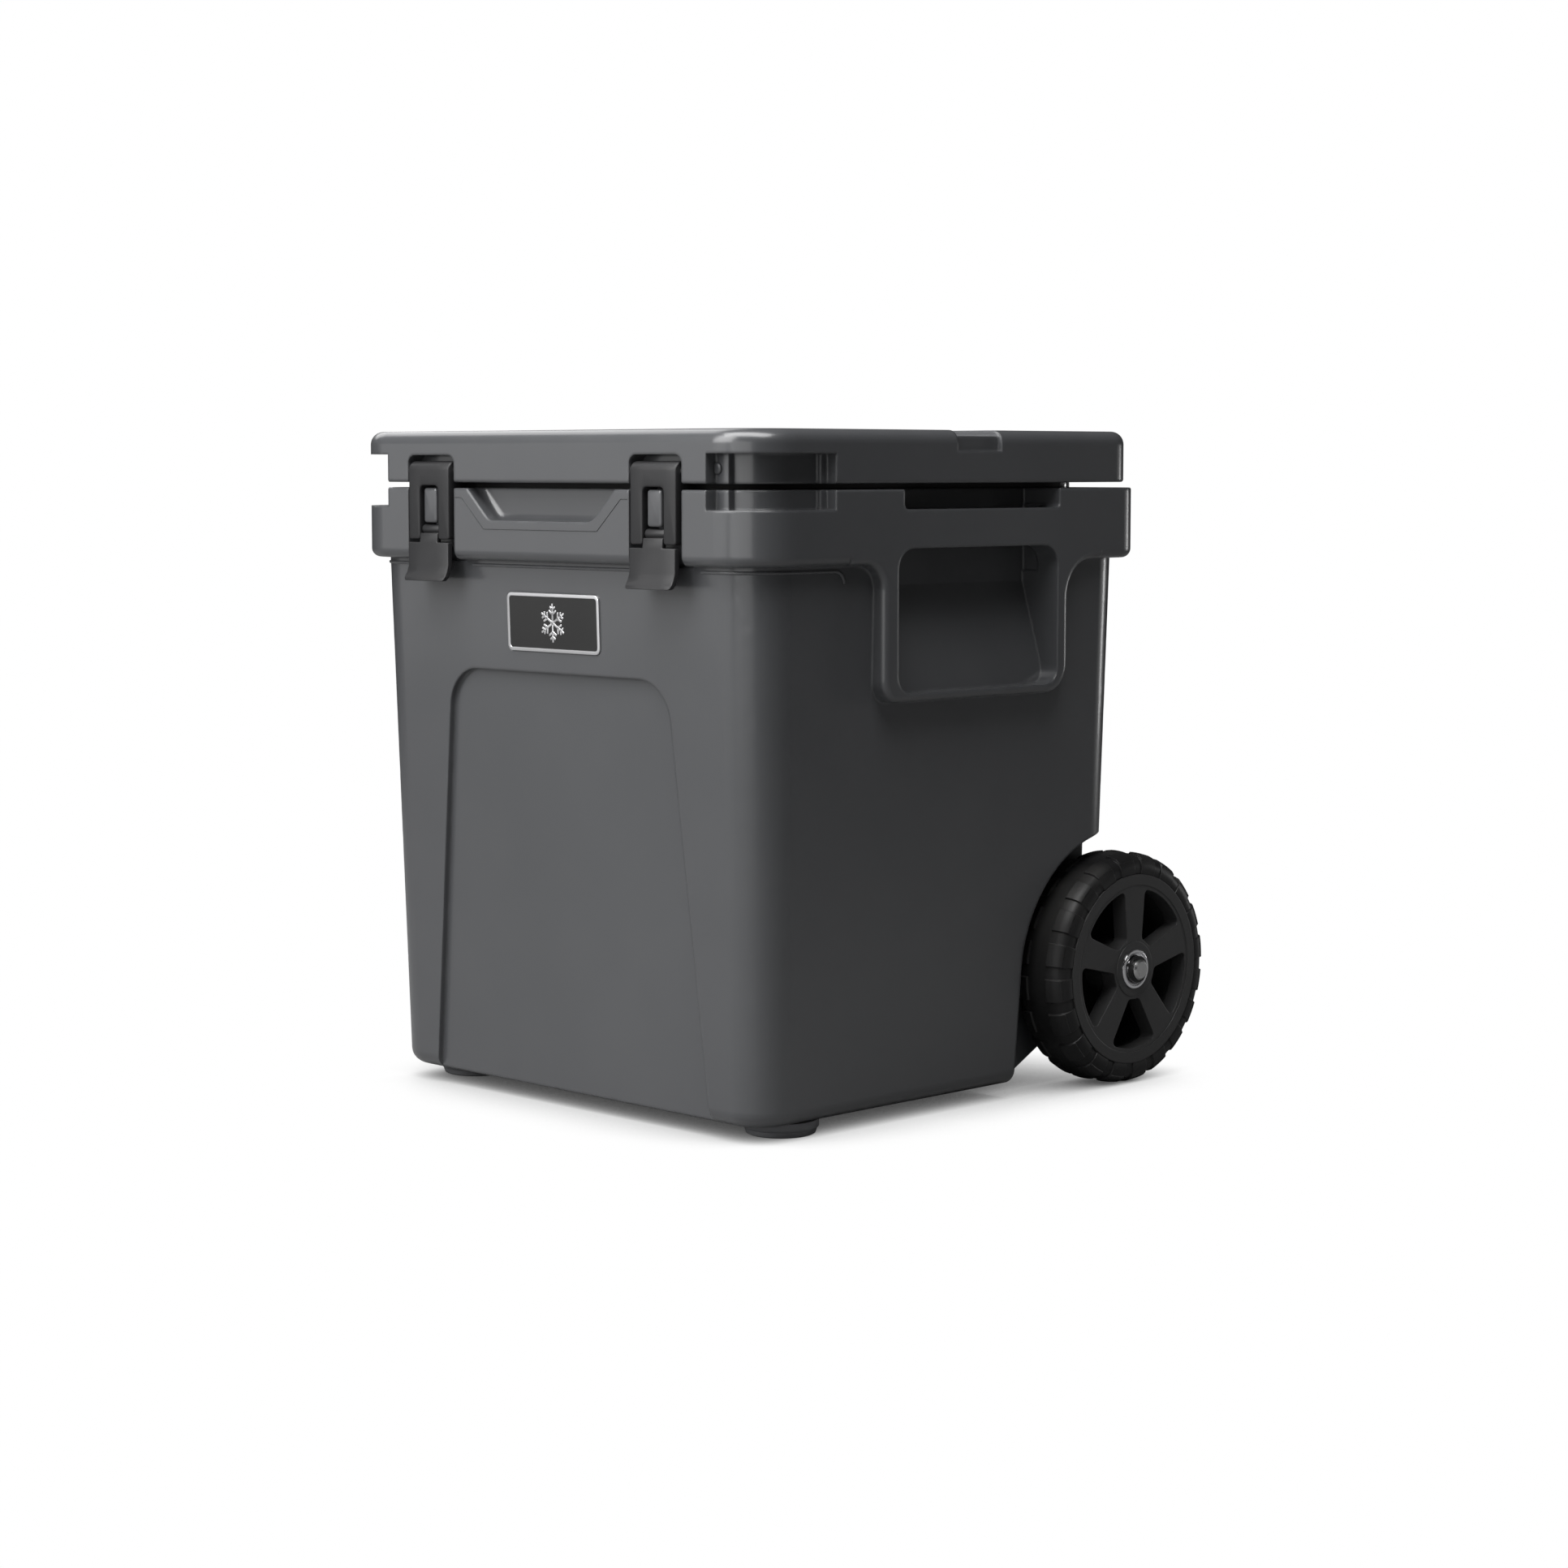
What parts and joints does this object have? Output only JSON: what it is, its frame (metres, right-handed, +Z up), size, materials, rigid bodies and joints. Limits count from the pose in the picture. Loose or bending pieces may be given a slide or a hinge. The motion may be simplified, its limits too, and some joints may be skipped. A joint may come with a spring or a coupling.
{
  "type": "wheeled cooler",
  "caption": "Hard foam-filled cooler on wheels with a hinged, latched lid, side grab pockets, a drain and a telescoping tow handle.",
  "frame": {"origin": "on the floor, at the middle of the bounding box", "axes": "+Z up, -Y towards the front with the latches and nameplate, +X to the right as seen from the front"},
  "size_m": [0.48, 0.5102, 0.51],
  "materials": {
    "tub_plastic": "satin",
    "lid_plastic": "satin",
    "foam": "matte",
    "latch_rubber": "matte",
    "gasket_rubber": "matte",
    "keeper_plastic": "satin",
    "foot_rubber": "matte",
    "black_plastic": "satin",
    "tyre_rubber": "matte",
    "steel": "satin",
    "chrome": "polished",
    "aluminium": "satin",
    "plate": "satin",
    "black_steel": "satin"
  },
  "bodies": {
    "tub": {"body_shell": "tub_plastic", "body_foam": "foam", "body_fill_plug": "black_plastic", "nameplate": "plate", "drain_sleeve": "black_plastic", "axle": "steel", "handle_bracket_upper": "black_plastic", "handle_bracket_lower": "black_plastic", "bracket_screws_upper": "steel", "bracket_screws_lower": "steel", "foot_right": "foot_rubber", "foot_left": "foot_rubber", "foot_screw_right": "steel", "foot_screw_left": "steel", "axle_screws_right": "steel", "axle_screws_left": "steel", "axle_clamp_right": "black_plastic", "axle_clamp_left": "black_plastic", "hinge_rod_right": "steel", "hinge_rod_left": "steel", "keeper_right": "keeper_plastic", "keeper_left": "keeper_plastic", "axle_washer_right": "steel", "axle_washer_left": "steel", "axle_retainer_right": "black_steel", "axle_retainer_left": "black_steel", "handle_outer_tube_right": "aluminium", "handle_outer_tube_left": "aluminium"},
    "lid": {"lid_shell": "lid_plastic", "lid_foam": "foam", "lid_fill_plug": "lid_plastic", "lid_gasket": "gasket_rubber", "latch_pin_right": "steel", "latch_pin_left": "steel"},
    "handle_middle": {"handle_bridge": "black_plastic", "handle_middle_tube_right": "aluminium", "handle_middle_tube_left": "aluminium"},
    "handle_upper": {"handle_grip": "black_plastic", "handle_inner_tube_right": "aluminium", "handle_inner_tube_left": "aluminium"},
    "button": {"release_button": "keeper_plastic"},
    "drain_stopper": {"drain_knob": "black_plastic"},
    "latch_right": {"latch_arm_right": "latch_rubber", "tab_pin_right": "steel"},
    "tab_right": {"pull_tab_right": "latch_rubber"},
    "wheel_right": {"tyre_right": "tyre_rubber", "wheel_rim_right": "black_plastic", "bearing_inner_right": "chrome", "bearing_outer_right": "chrome"},
    "latch_left": {"latch_arm_left": "latch_rubber", "tab_pin_left": "steel"},
    "tab_left": {"pull_tab_left": "latch_rubber"},
    "wheel_left": {"tyre_left": "tyre_rubber", "wheel_rim_left": "black_plastic", "bearing_inner_left": "chrome", "bearing_outer_left": "chrome"}
  },
  "joints": [
    {"name": "lid_hinge", "type": "hinge", "parent": "tub", "child": "lid", "pos_m": [0, 0.1695, 0.4692], "axis": [-1, 0, 0], "range_deg": [0, 90]},
    {"name": "handle_slide_lower", "type": "slide", "parent": "tub", "child": "handle_middle", "axis": [0, 0, 1], "range_m": [0, 0.235]},
    {"name": "handle_slide_upper", "type": "slide", "parent": "handle_middle", "child": "handle_upper", "axis": [0, 0, 1], "range_m": [0, 0.235]},
    {"name": "button_press", "type": "slide", "parent": "handle_upper", "child": "button", "axis": [0, 0, -1], "range_m": [0, 0.003], "stiffness_N_per_m": 600, "springref_m": -0.002},
    {"name": "drain_turn", "type": "hinge", "parent": "tub", "child": "drain_stopper", "pos_m": [-0.2, -0.0965, 0.086], "axis": [1, 0, 0], "range_deg": [0, 90]},
    {"name": "latch_swing_right", "type": "hinge", "parent": "lid", "child": "latch_right", "pos_m": [0.1265, -0.2415, 0.48], "axis": [-1, 0, 0], "range_deg": [0, 100]},
    {"name": "tab_swing_right", "type": "hinge", "parent": "latch_right", "child": "tab_right", "pos_m": [0.1265, -0.2435, 0.4356], "axis": [-1, 0, 0], "range_deg": [0, 60]},
    {"name": "wheel_spin_right", "type": "hinge", "parent": "tub", "child": "wheel_right", "pos_m": [0.209, 0.1639, 0.0912], "axis": [1, 0, 0], "continuous": true},
    {"name": "latch_swing_left", "type": "hinge", "parent": "lid", "child": "latch_left", "pos_m": [-0.1265, -0.2415, 0.48], "axis": [-1, 0, 0], "range_deg": [0, 100]},
    {"name": "tab_swing_left", "type": "hinge", "parent": "latch_left", "child": "tab_left", "pos_m": [-0.1265, -0.2435, 0.4356], "axis": [-1, 0, 0], "range_deg": [0, 60]},
    {"name": "wheel_spin_left", "type": "hinge", "parent": "tub", "child": "wheel_left", "pos_m": [-0.209, 0.1639, 0.0912], "axis": [1, 0, 0], "continuous": true}
  ]
}
